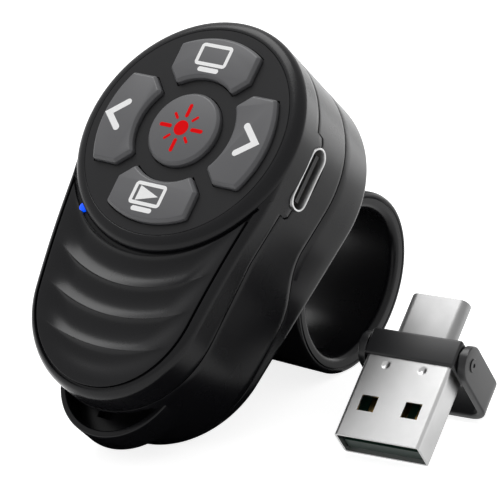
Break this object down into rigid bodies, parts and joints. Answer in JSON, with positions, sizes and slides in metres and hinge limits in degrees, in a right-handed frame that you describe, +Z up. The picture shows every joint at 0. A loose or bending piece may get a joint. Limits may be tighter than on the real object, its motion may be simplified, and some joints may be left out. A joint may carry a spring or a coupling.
{
  "type": "finger-worn presentation clicker",
  "caption": "Finger-worn presentation clicker with a round key pad, scalloped thumb grip, finger ring, lanyard loop and charging port, and its two-ended receiver with a swing bail.",
  "frame": {"origin": "centre of the set's footprint, on the surface it stands on", "axes": "+Z up; +X to the wearer's right, along the finger ring's bore and out of the charging port; +Y away from the side that the keys face"},
  "size_m": [0.0542, 0.055, 0.0485],
  "materials": {
    "satin_black": "satin moulded plastic, near black",
    "plate_black": "matte, finely grained",
    "button_grey": "matte grey caps with white and red symbols",
    "plunger_black": "matte",
    "lamp_blue": "clear blue light pipe",
    "board_green": "solder resist",
    "chip_black": "moulded epoxy",
    "switch_steel": "stamped",
    "plug_steel": "polished plated steel",
    "screw_steel": "dark plated",
    "tongue_grey": "glass filled moulding",
    "tongue_green": "dark moulding",
    "contact_gold": "gold flash",
    "battery_foil": "pouch foil",
    "lead_red": "insulated wire",
    "laser_brass": "turned",
    "clear_lens": "clear",
    "receiver_black": "satin moulded plastic"
  },
  "bodies": {
    "clicker": {"top_cover": "satin_black", "mid_housing": "satin_black", "back_cover": "satin_black", "key_plate": "plate_black", "finger_ring": "satin_black", "lanyard_loop": "satin_black", "led_lens": "lamp_blue", "status_led": "lamp_blue", "main_pcb": "board_green", "switch_bodies": "switch_steel", "radio_chip": "chip_black", "charge_chip": "chip_black", "crystal_can": "switch_steel", "port_shell": "plug_steel", "port_tongue": "tongue_grey", "port_contacts": "contact_gold", "battery_cell": "battery_foil", "battery_leads": "lead_red", "laser_barrel": "laser_brass", "laser_lens": "clear_lens", "laser_board": "board_green", "laser_window": "clear_lens", "case_screws": "screw_steel", "ring_screws": "screw_steel"},
    "laser_key": {"laser_button": "button_grey", "laser_plunger": "plunger_black"},
    "screen_key": {"screen_button": "button_grey", "screen_plunger": "plunger_black"},
    "previous_key": {"previous_button": "button_grey", "previous_plunger": "plunger_black"},
    "play_key": {"play_button": "button_grey", "play_plunger": "plunger_black"},
    "next_key": {"next_button": "button_grey", "next_plunger": "plunger_black"},
    "receiver": {"receiver_block": "receiver_black", "plug_a_shell": "plug_steel", "plug_a_tongue": "tongue_green", "plug_a_contacts": "contact_gold", "plug_c_shell": "plug_steel", "plug_c_liner": "tongue_grey", "receiver_pcb": "board_green", "bail_pins": "screw_steel"},
    "bail": {"swing_bail": "receiver_black"}
  },
  "joints": [
    {"name": "laser_press", "type": "slide", "parent": "clicker", "child": "laser_key", "axis": [0, 0.6627, -0.7489], "range_m": [0, 0.0005], "stiffness_N_per_m": 1500, "springref_m": -0.0003},
    {"name": "screen_press", "type": "slide", "parent": "clicker", "child": "screen_key", "axis": [0, 0.6627, -0.7489], "range_m": [0, 0.0005], "stiffness_N_per_m": 1500, "springref_m": -0.0003},
    {"name": "previous_press", "type": "slide", "parent": "clicker", "child": "previous_key", "axis": [0, 0.6627, -0.7489], "range_m": [0, 0.0005], "stiffness_N_per_m": 1500, "springref_m": -0.0003},
    {"name": "play_press", "type": "slide", "parent": "clicker", "child": "play_key", "axis": [0, 0.6627, -0.7489], "range_m": [0, 0.0005], "stiffness_N_per_m": 1500, "springref_m": -0.0003},
    {"name": "next_press", "type": "slide", "parent": "clicker", "child": "next_key", "axis": [0, 0.6627, -0.7489], "range_m": [0, 0.0005], "stiffness_N_per_m": 1500, "springref_m": -0.0003},
    {"name": "receiver_lift", "type": "slide", "parent": "clicker", "child": "receiver", "axis": [0, 0, 1], "range_m": [0, 0.05]},
    {"name": "bail_swing", "type": "hinge", "parent": "receiver", "child": "bail", "pos_m": [0.01914, 0.00466, 0.00966], "axis": [0.9893, 0.1461, 0], "range_deg": [-50, 150]}
  ]
}
